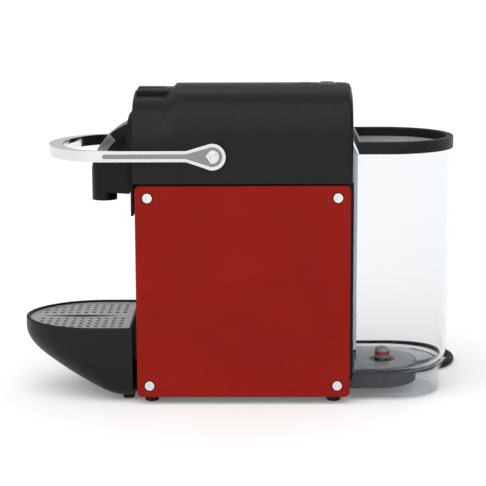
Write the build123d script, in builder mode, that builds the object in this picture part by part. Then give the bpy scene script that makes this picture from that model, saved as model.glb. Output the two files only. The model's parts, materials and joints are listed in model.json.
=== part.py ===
"""Pod coffee machine: a compact capsule brewer with a lever, a removable water tank and a drip tray.

Millimetres. Origin on the surface it stands on, at the middle of the machine's outline.
The drip tray faces -Y, the water tank is at +Y, and +Z is up.
"""

from build123d import *
from math import cos, radians, sin, sqrt, tan
import os

os.makedirs("parts", exist_ok=True)

# ---------------------------------------------------------------- driving dimensions
LENGTH = 325.0                      # drip tray's tip to tank lid's tip
FRONT, REAR = -LENGTH / 2, LENGTH / 2

PANEL_X = 51.9                      # outer face of a side panel
PANEL_T = 2.4
PANEL_Y = (-74.6, 83.5)
PANEL_Z = (5.75, 164.5)
PANEL_R = 3.5
SCREW_Y = (-65.3, 74.1)
SCREW_Z = (14.6, 155.7)
SCREW_HEAD_R = 3.5

FRAME_X = 47.9                      # outer face of an inner side frame
WALL = 2.0
FLOOR_Z = (5.8, 8.2)                # base plate
BODY_Y = (-72.0, 82.4)
REAR_EDGE = 85.6                    # side frames' rear edges, just clear of the tank

SHELL_X = 50.6                      # half width of the top shell
SHELL_Y = (-76.0, 85.0)
SHELL_BASE = 166.0
SHELL_TOP = 235.2
SHELL_CORNER = 30.0
CROWN_R = 110.0
SHELL_ROOF = 1.4                    # thickness of the shell's roof
DIP = 5.4                           # how far the roof drops at the capsule slot
RAMP_Y = (-54.0, -45.0)             # where the roof climbs back
SLOT_X, SLOT_Y = 19.6, (-74.4, -46.0)
INSET_X = 25.5                      # half width of the control strip's recess

PIVOT_Y, PIVOT_Z = -17.4, 186.4     # lever's axis, along X
EYE_R = 9.7
ARM_X = (51.2, 55.6)                # lever arm, inner and outer face
ARM_Z = (182.8, 190.8)
LOOP_TIP = -141.8
LOOP_STRAIGHT = -97.0               # where the arms begin to curve together
LOOP_GRIP = 10.5                    # thickness of the loop at its tip, seen from above
STUB_R = 4.0
CRANK_R = 18.3
CRANK_HALF = 50.0                   # degrees that the crank stands ahead of upright at rest
PIN_R = 2.5

BREW_Z = 190.0                      # brewing axis
CAGE_Y = (-69.5, -40.0)
CAGE_R = 19.6
CAGE_PIN_Y = -52.0
ROD_X, ROD_Z, ROD_R = 22.5, 174.0, 2.0

TRAY_TOP = 58.2
TRAY_X = 50.5
TRAY_BACK = -78.0
TRAY_STRAIGHT = -104.0              # where the tray's sides begin to curve together
TRAY_WALL = 2.2

SPOUT_Y, SPOUT_R, SPOUT_Z = -100.8, 9.5, 147.5

TANK_FLAT = 86.0                    # tank's flat wall, facing the body
TANK_Z = (21.6, 187.4)
TANK_TOP_X, TANK_LOW_X = 49.9, 47.6
TANK_TOP_TIP, TANK_LOW_TIP = 161.3, 159.2
TANK_WALL = 2.2
VALVE_Y = 110.9
LID_X, LID_Z = 51.2, (187.6, 196.3)
BASE_X, BASE_TIP = 38.0, 154.7      # clear skirt under the tank

FOOT_R = 5.3
FOOT_AT = [(x, y) for x in (-37.0, 37.0) for y in (-64.5, 72.0)]

CORD_R = 3.0
CORD_EXIT = (-42.2, 11.6)           # x and z where the mains cord leaves the rear wall
COIL_AT = (-98.0, -5.0)
COIL_MID_R = 34.0
COIL_HALF = 7.0                     # half width of the coil's band of turns

pieces = []


def arch(half, top, corner, crown, base):
    """Closed arch in the current XZ sketch: upright sides, round shoulders and a crowned roof."""
    reach = half - corner
    centre = top - crown + sqrt((crown - corner) ** 2 - reach**2)
    along = reach / (crown - corner)
    touch = (along * crown, top - crown + crown * sqrt(1 - along**2))
    bend = radians(20)
    mid = (reach + corner * cos(bend), centre + corner * sin(bend))
    with BuildLine() as outline:
        Line((-half, base), (half, base))
        Line((half, base), (half, centre))
        ThreePointArc((half, centre), mid, touch)
        ThreePointArc(touch, (0, top), (-touch[0], touch[1]))
        ThreePointArc((-touch[0], touch[1]), (-mid[0], mid[1]), (-half, centre))
        Line((-half, centre), (-half, base))
    return outline.wire()


def crown_band(top, thick, half):
    """A strip of the crowned roof in the current XZ sketch, from top down to top - thick."""
    drop = CROWN_R - sqrt(CROWN_R**2 - half**2)
    with BuildLine() as outline:
        ThreePointArc((-half, top - drop), (0, top), (half, top - drop))
        Line((half, top - drop), (half, top - drop - thick))
        ThreePointArc((half, top - drop - thick), (0, top - thick), (-half, top - drop - thick))
        Line((-half, top - drop - thick), (-half, top - drop))
    return outline.wire()


def back_plane(y):
    """Plane across the machine at y: local x is X and local y is Z, extruding towards +Y."""
    return Plane((0, y, 0), x_dir=(-1, 0, 0), z_dir=(0, 1, 0))


def side_plane(x):
    """Plane along the machine at x: local x is Y and local y is Z, extruding towards +X."""
    return Plane((x, 0, 0), x_dir=(0, 1, 0), z_dir=(1, 0, 0))


def d_outline(flat, half, tip):
    """D in plan: a flat edge across the machine and a half round end."""
    with BuildLine() as outline:
        Line((-half, flat), (half, flat))
        Line((half, flat), (half, tip - half))
        ThreePointArc((half, tip - half), (0, tip), (-half, tip - half))
        Line((-half, tip - half), (-half, flat))
    return outline.wire()


def tray_outline(half, tip, straight, back):
    """U in plan: straight sides that close in half an ellipse at the front."""
    with BuildLine() as outline:
        Line((half, back), (-half, back))
        Line((-half, back), (-half, straight))
        EllipticalCenterArc((0, straight), half, straight - tip, start_angle=180, arc_size=180)
        Line((half, straight), (half, back))
    return outline.wire()


# ---------------------------------------------------------------- casing: frames and covers
with BuildPart() as base_plate:
    with BuildSketch(Plane.XY.offset(FLOOR_Z[0])):
        with Locations((0, sum(BODY_Y) / 2)):
            RectangleRounded(2 * FRAME_X, BODY_Y[1] - BODY_Y[0], 4)
    extrude(amount=FLOOR_Z[1] - FLOOR_Z[0])
base_plate.part.label = "base_plate"
pieces.append(base_plate)

for side, name in ((-1, "side_frame_left"), (1, "side_frame_right")):
    with BuildPart() as side_frame:
        with BuildSketch(side_plane(side * FRAME_X)):
            with Locations((sum(BODY_Y) / 2, (FLOOR_Z[1] + 176) / 2)):
                Rectangle(BODY_Y[1] - BODY_Y[0], 176 - FLOOR_Z[1])
            with Locations(((BODY_Y[1] + REAR_EDGE) / 2, 92)):
                Rectangle(REAR_EDGE - BODY_Y[1], 148)
            with Locations((-42, 75), (38, 75), (38, 128)):
                RectangleRounded(30, 26, 5, mode=Mode.SUBTRACT)
        extrude(amount=-side * WALL)
        with BuildSketch(side_plane(side * FRAME_X)):
            with Locations([(y, z) for y in SCREW_Y for z in SCREW_Z]):
                Circle(4.6)
        extrude(amount=side * (PANEL_X - PANEL_T - FRAME_X))
        with BuildSketch(side_plane(side * (FRAME_X - WALL))):
            with Locations([(y, z) for y in SCREW_Y for z in SCREW_Z]):
                Circle(1.5)
        extrude(amount=side * 8, mode=Mode.SUBTRACT)
    side_frame.part.label = name
    pieces.append(side_frame)

with BuildPart() as rear_wall:
    with BuildSketch(back_plane(80.0)):
        with Locations((0, (FLOOR_Z[1] + 164) / 2)):
            Rectangle(2 * (FRAME_X - WALL - 0.1), 164 - FLOOR_Z[1])
        with Locations((-CORD_EXIT[0], CORD_EXIT[1])):
            Circle(CORD_R + 0.05, mode=Mode.SUBTRACT)
    extrude(amount=BODY_Y[1] - 80.0)
    with BuildSketch(back_plane(80.0)):
        with Locations([(x, 100 + 10 * k) for x in (-18, 18) for k in range(5)]):
            SlotOverall(22, 3)
    extrude(amount=BODY_Y[1] - 80.0, mode=Mode.SUBTRACT)
rear_wall.part.label = "rear_wall"
pieces.append(rear_wall)

with BuildPart() as partition_wall:
    with BuildSketch(back_plane(-2.6)):
        with Locations((0, (FLOOR_Z[1] + 150) / 2)):
            Rectangle(2 * (FRAME_X - WALL - 0.2), 150 - FLOOR_Z[1])
    extrude(amount=1.8)
partition_wall.part.label = "partition_wall"
pieces.append(partition_wall)

for side, name in ((-1, "side_panel_left"), (1, "side_panel_right")):
    with BuildPart() as side_panel:
        with BuildSketch(side_plane(side * (PANEL_X - PANEL_T))):
            with Locations((sum(PANEL_Y) / 2, sum(PANEL_Z) / 2)):
                RectangleRounded(PANEL_Y[1] - PANEL_Y[0], PANEL_Z[1] - PANEL_Z[0], PANEL_R)
            with Locations([(y, z) for y in SCREW_Y for z in SCREW_Z]):
                Circle(1.9, mode=Mode.SUBTRACT)
        extrude(amount=side * PANEL_T)
        outer = side_panel.faces().sort_by(Axis.X)[-1 if side > 0 else 0]
        fillet(outer.outer_wire().edges(), 1.6)
        with BuildSketch(side_plane(side * (PANEL_X - 1.5))):
            with Locations([(y, z) for y in SCREW_Y for z in SCREW_Z]):
                Circle(SCREW_HEAD_R + 0.7)
        extrude(amount=side * 4, mode=Mode.SUBTRACT)
    side_panel.part.label = name
    pieces.append(side_panel)

with BuildPart() as panel_screws:
    for side in (-1, 1):
        seat = side * (PANEL_X - 1.5)
        with BuildSketch(side_plane(seat)):
            with Locations([(y, z) for y in SCREW_Y for z in SCREW_Z]):
                Circle(SCREW_HEAD_R)
                RegularPolygon(1.4, 6, mode=Mode.SUBTRACT)
        extrude(amount=side * 1.6)
        with BuildSketch(side_plane(seat)):
            with Locations([(y, z) for y in SCREW_Y for z in SCREW_Z]):
                Circle(SCREW_HEAD_R)
        extrude(amount=side * 0.6)
        with BuildSketch(side_plane(seat)):
            with Locations([(y, z) for y in SCREW_Y for z in SCREW_Z]):
                Circle(1.45)
        extrude(amount=-side * 4.4)
panel_screws.part.label = "panel_screws"
pieces.append(panel_screws)

SHELL_STATIONS = ((SHELL_Y[0], DIP), (RAMP_Y[0], DIP), (RAMP_Y[1], 0.0), (SHELL_Y[1], 0.0))
with BuildPart() as top_shell:
    for y, drop in SHELL_STATIONS:
        with BuildSketch(back_plane(y)):
            make_face(arch(SHELL_X, SHELL_TOP - drop, SHELL_CORNER, CROWN_R, SHELL_BASE).edges())
    loft(ruled=True)
    rear_edges = top_shell.faces().sort_by(Axis.Y)[-1].edges().filter_by(
        lambda e: e.center().Z > SHELL_BASE + 1)
    fillet(rear_edges, 3.0)
    for y, drop in ((SHELL_Y[0] - 1, DIP), (RAMP_Y[0], DIP), (RAMP_Y[1], 0.0), (82.8, 0.0)):
        with BuildSketch(back_plane(y)):
            make_face(arch(SHELL_X - WALL, SHELL_TOP - SHELL_ROOF - drop, SHELL_CORNER - WALL,
                           CROWN_R - SHELL_ROOF, SHELL_BASE - 1).edges())
    loft(ruled=True, mode=Mode.SUBTRACT)
    with BuildSketch(Plane.XY.offset(215)):
        with Locations((0, sum(SLOT_Y) / 2)):
            Rectangle(2 * SLOT_X, SLOT_Y[1] - SLOT_Y[0])
        with Locations((0, 67.4)):
            Circle(5.5)
        with Locations((0, 50.8)):
            Circle(4.8)
        with Locations((0, 79.6)):
            Circle(1.9)
    extrude(amount=30, mode=Mode.SUBTRACT)
    with BuildSketch(back_plane(42.6)):
        make_face(crown_band(SHELL_TOP + 0.3, 1.0, INSET_X).edges())
    extrude(amount=50, mode=Mode.SUBTRACT)
    for side in (-1, 1):
        with BuildSketch(side_plane(side * (SHELL_X - 0.5))):
            with Locations((PIVOT_Y, PIVOT_Z)):
                Circle(11.0)
        extrude(amount=side * 0.8)
    with BuildSketch(side_plane(-60)):
        with Locations((PIVOT_Y, PIVOT_Z)):
            Circle(6.0)
    extrude(amount=120, mode=Mode.SUBTRACT)
top_shell.part.label = "top_shell"
pieces.append(top_shell)

NOSE_FACE = -80.7                   # front face of the front frame, where the outlet is fixed
with BuildPart() as front_frame:
    with BuildSketch(back_plane(-75.7)):
        make_face(arch(SHELL_X - WALL - 0.3, SHELL_TOP - DIP - SHELL_ROOF - 0.3, 27.0, 108.0,
                       SHELL_BASE).edges())
    extrude(amount=1.7)
    with BuildSketch(back_plane(-77.6)):
        with Locations((0, 154.2)):
            Rectangle(94.6, 24.4)
    extrude(amount=1.9)
    with BuildSketch(back_plane(-78.3)):
        with Locations((0, 162.9)):
            Rectangle(94.6, 7.0)
        make_face(arch(44.0, 217.0, 26.0, 100.0, 159.4).edges())
    extrude(amount=2.6)
    with BuildSketch(back_plane(NOSE_FACE)):
        make_face(arch(40.0, 213.0, 24.0, 90.0, 160.0).edges())
    extrude(amount=2.4)
    with BuildSketch(back_plane(-84.0)):
        with Locations((0, BREW_Z)):
            Circle(12.0)
    extrude(amount=12.0, mode=Mode.SUBTRACT)
front_frame.part.label = "front_frame"
pieces.append(front_frame)

with BuildPart() as control_panel:
    with BuildSketch(back_plane(42.8)):
        make_face(crown_band(SHELL_TOP, 0.6, INSET_X - 0.2).edges())
    extrude(amount=SHELL_Y[1] - 3.2 - 42.8)
    with BuildSketch(Plane.XY.offset(215)):
        with Locations((0, 67.4)):
            Circle(5.5)
        with Locations((0, 50.8)):
            Circle(4.8)
        with Locations((0, 79.6)):
            Circle(1.9)
    extrude(amount=30, mode=Mode.SUBTRACT)
control_panel.part.label = "control_panel"
pieces.append(control_panel)

with BuildPart() as status_light:
    with BuildSketch(Plane.XY.offset(226.0)):
        with Locations((0, 79.6)):
            Circle(1.8)
    extrude(amount=SHELL_TOP - 226.0)
status_light.part.label = "status_light"
pieces.append(status_light)

with BuildPart() as rubber_feet:
    with BuildSketch(Plane.XY):
        with Locations(FOOT_AT):
            Circle(FOOT_R)
    extrude(amount=FLOOR_Z[0])
    chamfer(rubber_feet.faces().group_by(Axis.Z)[0].edges(), 0.8)
rubber_feet.part.label = "rubber_feet"
pieces.append(rubber_feet)

# ---------------------------------------------------------------- casing: coffee outlet
NOSE_LOW = 153.8
NOSE_AT, NOSE_R = (-64.0, 163.1), 46.8      # arc that the nose's top follows, seen from the side
TRIM_ARC = (29.5, 48.5)                     # degrees above level where the trim lies on it
TRIM_WIDE, TRIM_PROUD = 6.4, 0.3
BORE_Y, BORE_Z = -94.6, 181.5


def on_nose(angle, radius):
    """Point at an angle above level on the nose's arc, seen from the side."""
    return NOSE_AT[0] - radius * cos(radians(angle)), NOSE_AT[1] + radius * sin(radians(angle))


def nose_plan(grow):
    """The nose's plan: a round tip that widens to the front frame, grown by this much."""
    half, wide = SPOUT_R + grow, 18 + grow
    with BuildLine() as outline:
        Polyline((-half, SPOUT_Y), (-wide, NOSE_FACE), (wide, NOSE_FACE), (half, SPOUT_Y))
        ThreePointArc((half, SPOUT_Y), (0, SPOUT_Y - half), (-half, SPOUT_Y))
    return outline.wire()


def trim_band(grow):
    """The trim's band in the current side sketch, its outer arc grown by this much."""
    low, high = TRIM_ARC
    outer, inner = NOSE_R + grow, NOSE_R - TRIM_WIDE
    with BuildLine() as outline:
        Line(on_nose(low, inner), on_nose(low, outer))
        ThreePointArc(on_nose(low, outer), on_nose(sum(TRIM_ARC) / 2, outer), on_nose(high, outer))
        Line(on_nose(high, outer), on_nose(high, inner))
        ThreePointArc(on_nose(high, inner), on_nose(sum(TRIM_ARC) / 2, inner), on_nose(low, inner))
    return outline.wire()


NOSE_TOP = NOSE_AT[1] + sqrt(NOSE_R**2 - (NOSE_FACE - NOSE_AT[0]) ** 2)
with BuildPart() as coffee_outlet:
    with BuildSketch(side_plane(-24)):
        with BuildLine():
            Polyline((NOSE_FACE, NOSE_TOP), (NOSE_FACE, NOSE_LOW), (SPOUT_Y - SPOUT_R, NOSE_LOW),
                     on_nose(8, NOSE_R))
            ThreePointArc(on_nose(8, NOSE_R), on_nose(40, NOSE_R), (NOSE_FACE, NOSE_TOP))
        make_face()
    extrude(amount=48)
    with BuildSketch(Plane.XY.offset(140)):
        make_face(nose_plan(0).edges())
    extrude(amount=80, mode=Mode.INTERSECT)
    with BuildSketch(side_plane(-24)):
        make_face(trim_band(4).edges())
    extrude(amount=48, mode=Mode.SUBTRACT)
    with BuildSketch(Plane.XY.offset(SPOUT_Z)):
        with Locations((0, SPOUT_Y)):
            Circle(SPOUT_R)
    extrude(amount=20)
    with BuildSketch(Plane.XY.offset(SPOUT_Z)):
        with Locations((0, SPOUT_Y)):
            Circle(SPOUT_R - 1.8)
    extrude(amount=14, mode=Mode.SUBTRACT)
    with BuildSketch(Plane.XY.offset(SPOUT_Z + 10)):
        with Locations((0, BORE_Y)):
            Circle(2.5)
    extrude(amount=BORE_Z - SPOUT_Z - 10, mode=Mode.SUBTRACT)
    with BuildSketch(back_plane(BORE_Y)):
        with Locations((0, BORE_Z)):
            Circle(2.5)
    extrude(amount=30, mode=Mode.SUBTRACT)
coffee_outlet.part.label = "coffee_outlet"
pieces.append(coffee_outlet)

with BuildPart() as outlet_trim:
    with BuildSketch(side_plane(-24)):
        make_face(trim_band(TRIM_PROUD).edges())
    extrude(amount=48)
    with BuildSketch(Plane.XY.offset(140)):
        make_face(nose_plan(TRIM_PROUD).edges())
    extrude(amount=80, mode=Mode.INTERSECT)
outlet_trim.part.label = "outlet_trim"
pieces.append(outlet_trim)

# ---------------------------------------------------------------- casing: brewing group
BREW_X = 30.0
BREW_Y = (-73.2, 15.0)
BREW_BOX_Z = (160.0, 212.0)
with BuildPart() as brew_frame:
    with BuildSketch(Plane.XY.offset(BREW_BOX_Z[0])):
        with Locations((0, sum(BREW_Y) / 2)):
            Rectangle(2 * BREW_X, BREW_Y[1] - BREW_Y[0])
            Rectangle(2 * BREW_X - 5.0, BREW_Y[1] - BREW_Y[0] - 5.0, mode=Mode.SUBTRACT)
    extrude(amount=BREW_BOX_Z[1] - BREW_BOX_Z[0])
    with BuildSketch(side_plane(-BREW_X - 1)):
        with Locations((PIVOT_Y, PIVOT_Z)):
            Circle(STUB_R + 0.05)
    extrude(amount=2 * BREW_X + 2, mode=Mode.SUBTRACT)
    with BuildSketch(back_plane(BREW_Y[0] - 1)):
        with Locations((0, BREW_Z)):
            Circle(11.0)
    extrude(amount=4.0, mode=Mode.SUBTRACT)
    with BuildSketch(back_plane(BREW_Y[1] - 4)):
        with Locations((0, BREW_Z)):
            Circle(4.2)
    extrude(amount=6.0, mode=Mode.SUBTRACT)
brew_frame.part.label = "brew_frame"
pieces.append(brew_frame)

with BuildPart() as guide_rods:
    with BuildSketch(back_plane(BREW_Y[0] + 2.5)):
        with Locations((-ROD_X, ROD_Z), (ROD_X, ROD_Z)):
            Circle(ROD_R)
    extrude(amount=BREW_Y[1] - BREW_Y[0] - 5.0)
guide_rods.part.label = "guide_rods"
pieces.append(guide_rods)

with BuildPart() as puncture_plate:
    with BuildSketch(back_plane(BREW_Y[0] - 2.4)):
        with Locations((0, BREW_Z)):
            Circle(10.8)
    extrude(amount=3.8)
    with BuildSketch(back_plane(BREW_Y[0] - 2.4)):
        with Locations((0, BREW_Z)):
            Circle(2.5)
            with PolarLocations(6.5, 8):
                Circle(0.9)
    extrude(amount=4.0, mode=Mode.SUBTRACT)
puncture_plate.part.label = "puncture_plate"
pieces.append(puncture_plate)

with BuildPart() as shaft_bushes:
    for side in (-1, 1):
        with BuildSketch(side_plane(side * 48.0)):
            with Locations((PIVOT_Y, PIVOT_Z)):
                Circle(6.0)
                Circle(STUB_R + 0.05, mode=Mode.SUBTRACT)
        extrude(amount=side * 2.9)
shaft_bushes.part.label = "shaft_bushes"
pieces.append(shaft_bushes)

THERMO_Y = (20.0, 58.0)
THERMO_Z = (158.0, 212.0)
with BuildPart() as thermoblock:
    with BuildSketch(Plane.XY.offset(THERMO_Z[0])):
        with Locations((0, sum(THERMO_Y) / 2)):
            RectangleRounded(52, THERMO_Y[1] - THERMO_Y[0], 8)
    extrude(amount=THERMO_Z[1] - THERMO_Z[0])
    with BuildSketch(Plane.XY.offset(THERMO_Z[0])):
        with Locations([(0, THERMO_Y[0] + 6.5 + 5 * k) for k in range(6)]):
            Rectangle(60, 2.2)
    extrude(amount=8, mode=Mode.SUBTRACT)
    with BuildSketch(back_plane(THERMO_Y[0] - 3)):
        with Locations((0, BREW_Z)):
            Circle(4.0)
    extrude(amount=4)
thermoblock.part.label = "thermoblock"
pieces.append(thermoblock)

PUMP_Z, PUMP_Y = 50.0, (12.0, 70.0)
with BuildPart() as water_pump:
    with BuildSketch(back_plane(PUMP_Y[0] + 8)):
        with Locations((0, PUMP_Z)):
            RectangleRounded(42, 46, 4)
    extrude(amount=36)
    with BuildSketch(back_plane(PUMP_Y[0])):
        with Locations((0, PUMP_Z)):
            Circle(9)
    extrude(amount=PUMP_Y[1] - PUMP_Y[0])
water_pump.part.label = "water_pump"
pieces.append(water_pump)

with BuildPart() as pump_mounts:
    for y in (PUMP_Y[0] + 3, PUMP_Y[1] - 7):
        with BuildSketch(back_plane(y)):
            with BuildLine():
                Polyline((-14, FLOOR_Z[1]), (14, FLOOR_Z[1]), (11, PUMP_Z), (-11, PUMP_Z), close=True)
            make_face()
            with Locations((0, PUMP_Z)):
                Circle(9, mode=Mode.SUBTRACT)
        extrude(amount=4)
pump_mounts.part.label = "pump_mounts"
pieces.append(pump_mounts)

with BuildPart() as flow_meter:
    with BuildSketch(Plane.XY.offset(96)):
        with Locations((24, 60)):
            Circle(12)
    extrude(amount=14)
    with BuildSketch(side_plane(24 - 20)):
        with Locations((60, 103)):
            Circle(3)
    extrude(amount=40 - 20)
flow_meter.part.label = "flow_meter"
pieces.append(flow_meter)

TUBE_R = 2.6
TUBE_BEND = 4.0
TUBES = (
    # tank socket to flow meter, flow meter to pump, and pump to thermoblock
    ((0, 80.0, 15), (0, 74.5, 15), (-27, 74.5, 30), (-27, 70, 92), (-14, 60, 103), (4, 60, 103)),
    ((24, 60, 96), (24, 60, 84), (0, 59.5, 76), (0, 59.5, 59.4)),
    ((0, 16, 59.4), (0, 16, 100), (0, 29, 125), (0, 29, THERMO_Z[0])),
)
with BuildPart() as water_tubes:
    for points in TUBES:
        with BuildLine() as run:
            FilletPolyline(*points, radius=TUBE_BEND)
        with BuildSketch(Plane(origin=run.wire() @ 0, z_dir=run.wire() % 0)):
            Circle(TUBE_R)
        sweep(path=run.wire())
water_tubes.part.label = "water_tubes"
pieces.append(water_tubes)

with BuildPart() as control_board:
    with BuildSketch(side_plane(-40)):
        with Locations((42, 118)):
            Rectangle(60, 70)
    extrude(amount=1.6)
    with BuildSketch(side_plane(-38.4)):
        with Locations((28, 100), (52, 104), (40, 136)):
            Rectangle(14, 16)
    extrude(amount=11)
control_board.part.label = "control_board"
pieces.append(control_board)

with BuildPart() as switch_board:
    with BuildSketch(Plane.XY.offset(219.6)):
        with Locations((0, 61)):
            Rectangle(26, 42)
    extrude(amount=1.6)
    with BuildSketch(Plane.XY.offset(221.2)):
        with Locations((0, 50.8), (0, 67.4)):
            Rectangle(6.2, 6.2)
    extrude(amount=4.2)
switch_board.part.label = "switch_board"
pieces.append(switch_board)

# ---------------------------------------------------------------- casing: tank base and cord
ARM_TIP, ARM_HALF, ARM_TOP = 137.0, 34.5, 21.0
with BuildPart() as tank_base:
    with BuildSketch(Plane.XY.offset(8.0)):
        make_face(d_outline(BODY_Y[1], ARM_HALF, ARM_TIP).edges())
    extrude(amount=ARM_TOP - 8.0)
    with BuildSketch(Plane.XY.offset(ARM_TOP)):
        with Locations((0, VALVE_Y)):
            Circle(9.6)
    extrude(amount=-9.0, mode=Mode.SUBTRACT)
tank_base.part.label = "tank_base"
pieces.append(tank_base)

with BuildPart() as tank_connector:
    with BuildSketch(Plane.XY.offset(ARM_TOP - 9.0)):
        with Locations((0, VALVE_Y)):
            Circle(9.5)
            Circle(2.0, mode=Mode.SUBTRACT)
    extrude(amount=1.6)
    with BuildSketch(Plane.XY.offset(ARM_TOP - 7.4)):
        with Locations((0, VALVE_Y)):
            Circle(9.5)
            Circle(7.2, mode=Mode.SUBTRACT)
    extrude(amount=6.8)
tank_connector.part.label = "tank_connector"
pieces.append(tank_connector)

SKIRT_Z = (2.4, 21.2)
with BuildPart() as base_skirt:
    with BuildSketch(Plane.XY.offset(SKIRT_Z[0])):
        make_face(d_outline(85.2, BASE_X, BASE_TIP).edges())
    extrude(amount=SKIRT_Z[1] - SKIRT_Z[0])
    with BuildSketch(Plane.XY.offset(SKIRT_Z[0])):
        make_face(d_outline(85.0, BASE_X - 1.6, BASE_TIP - 1.6).edges())
    extrude(amount=SKIRT_Z[1] - SKIRT_Z[0] - 1.6, mode=Mode.SUBTRACT)
    with BuildSketch(Plane.XY.offset(SKIRT_Z[0])):
        make_face(d_outline(80.0, ARM_HALF + 0.2, ARM_TIP + 0.2).edges())
    extrude(amount=30, mode=Mode.SUBTRACT)
    with BuildSketch(side_plane(-6)):
        with BuildLine():
            Polyline((BASE_TIP - 1.2, 15.0), (BASE_TIP - 1.2, 18.2), (156.8, 22.6), (157.6, 21.8),
                     (BASE_TIP + 0.8, 15.8), close=True)
        make_face()
    extrude(amount=12)
base_skirt.part.label = "base_skirt"
pieces.append(base_skirt)

with BuildPart() as cord_gland:
    with BuildSketch(back_plane(BODY_Y[1])):
        with Locations((-CORD_EXIT[0], CORD_EXIT[1])):
            Circle(4.1)
            Circle(CORD_R + 0.05, mode=Mode.SUBTRACT)
    extrude(amount=3.0)
cord_gland.part.label = "cord_gland"
pieces.append(cord_gland)

LAY = CORD_R + 0.05                 # height of a cord's centre that lies on the surface
LEAD = [
    (-42.2, 80.2, 11.6), (-42.2, 94.0, 11.6), (-42.4, 109.0, 6.0), (-42.6, 125.5, LAY),
    (-44.0, 144.5, LAY), (-53.0, 161.5, LAY), (-69.5, 172.0, LAY), (-89.0, 173.0, LAY),
    (-106.5, 164.0, LAY), (-117.0, 147.5, LAY), (-119.5, 126.0, LAY), (-118.5, 98.0, LAY),
    (-121.5, 71.0, LAY), (-129.0, 45.0, LAY), (-134.5, 20.0, LAY), (-135.4, -4.0, LAY),
]
TAIL = [(-63.8, -5.0, 8.3), (-63.6, 6.5, 9.4), (-63.4, 17.0, 9.4), (-65.2, 29.0, 8.2), (-69.5, 40.0, 7.4)]


def cord_path(points):
    """The route's straight runs, joined by arcs as large as the shorter run of each corner allows."""
    radii = []
    for before, here, after in zip(points, points[1:], points[2:]):
        first, second = Vector(*here) - Vector(*before), Vector(*after) - Vector(*here)
        turn = first.get_angle(second)
        radii.append(0.45 * min(first.length, second.length) / tan(radians(turn / 2)))
    print("cord radii", [round(r) for r in radii], "smallest", round(min(radii), 1))
    with BuildLine() as path:
        FilletPolyline(*points, radius=radii)
    return path.wire()


with BuildPart() as mains_cord:
    for points in (LEAD, TAIL):
        route = cord_path(points)
        with BuildSketch(Plane(origin=route @ 0, z_dir=route % 0)):
            Circle(CORD_R)
        sweep(path=route)
        print("cord length", round(route.length, 1))
print("cord volume ratio", round(mains_cord.part.volume / (3.14159 * CORD_R**2), 1))
mains_cord.part.label = "mains_cord"
pieces.append(mains_cord)

with BuildPart() as cord_coil:
    with BuildSketch(Plane.XY.offset(0.05)):
        with Locations(COIL_AT):
            Circle(COIL_MID_R + COIL_HALF)
            Circle(COIL_MID_R - COIL_HALF, mode=Mode.SUBTRACT)
    extrude(amount=12.0)
    fillet(cord_coil.edges(), 2.8)
cord_coil.part.label = "cord_coil"
pieces.append(cord_coil)

PLUG_AT = Vector(*TAIL[-1])
PLUG_WAY = (PLUG_AT - Vector(*TAIL[-2])).normalized()
with BuildPart() as mains_plug:
    flat = Vector(PLUG_WAY.X, PLUG_WAY.Y, 0).normalized()
    across = Vector(-flat.Y, flat.X, 0)
    tail_plane = Plane(origin=PLUG_AT, x_dir=across, z_dir=flat)
    with BuildSketch(tail_plane):
        Circle(4.6)
    with BuildSketch(tail_plane.offset(14)):
        RectangleRounded(20, 12, 4)
    with BuildSketch(tail_plane.offset(30)):
        RectangleRounded(25, 14, 4)
    loft()
    with BuildSketch(tail_plane.offset(30)):
        with Locations((-6.35, 0), (6.35, 0)):
            Rectangle(1.6, 6.4)
    extrude(amount=16)
mains_plug.part.label = "mains_plug"
pieces.append(mains_plug)

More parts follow.
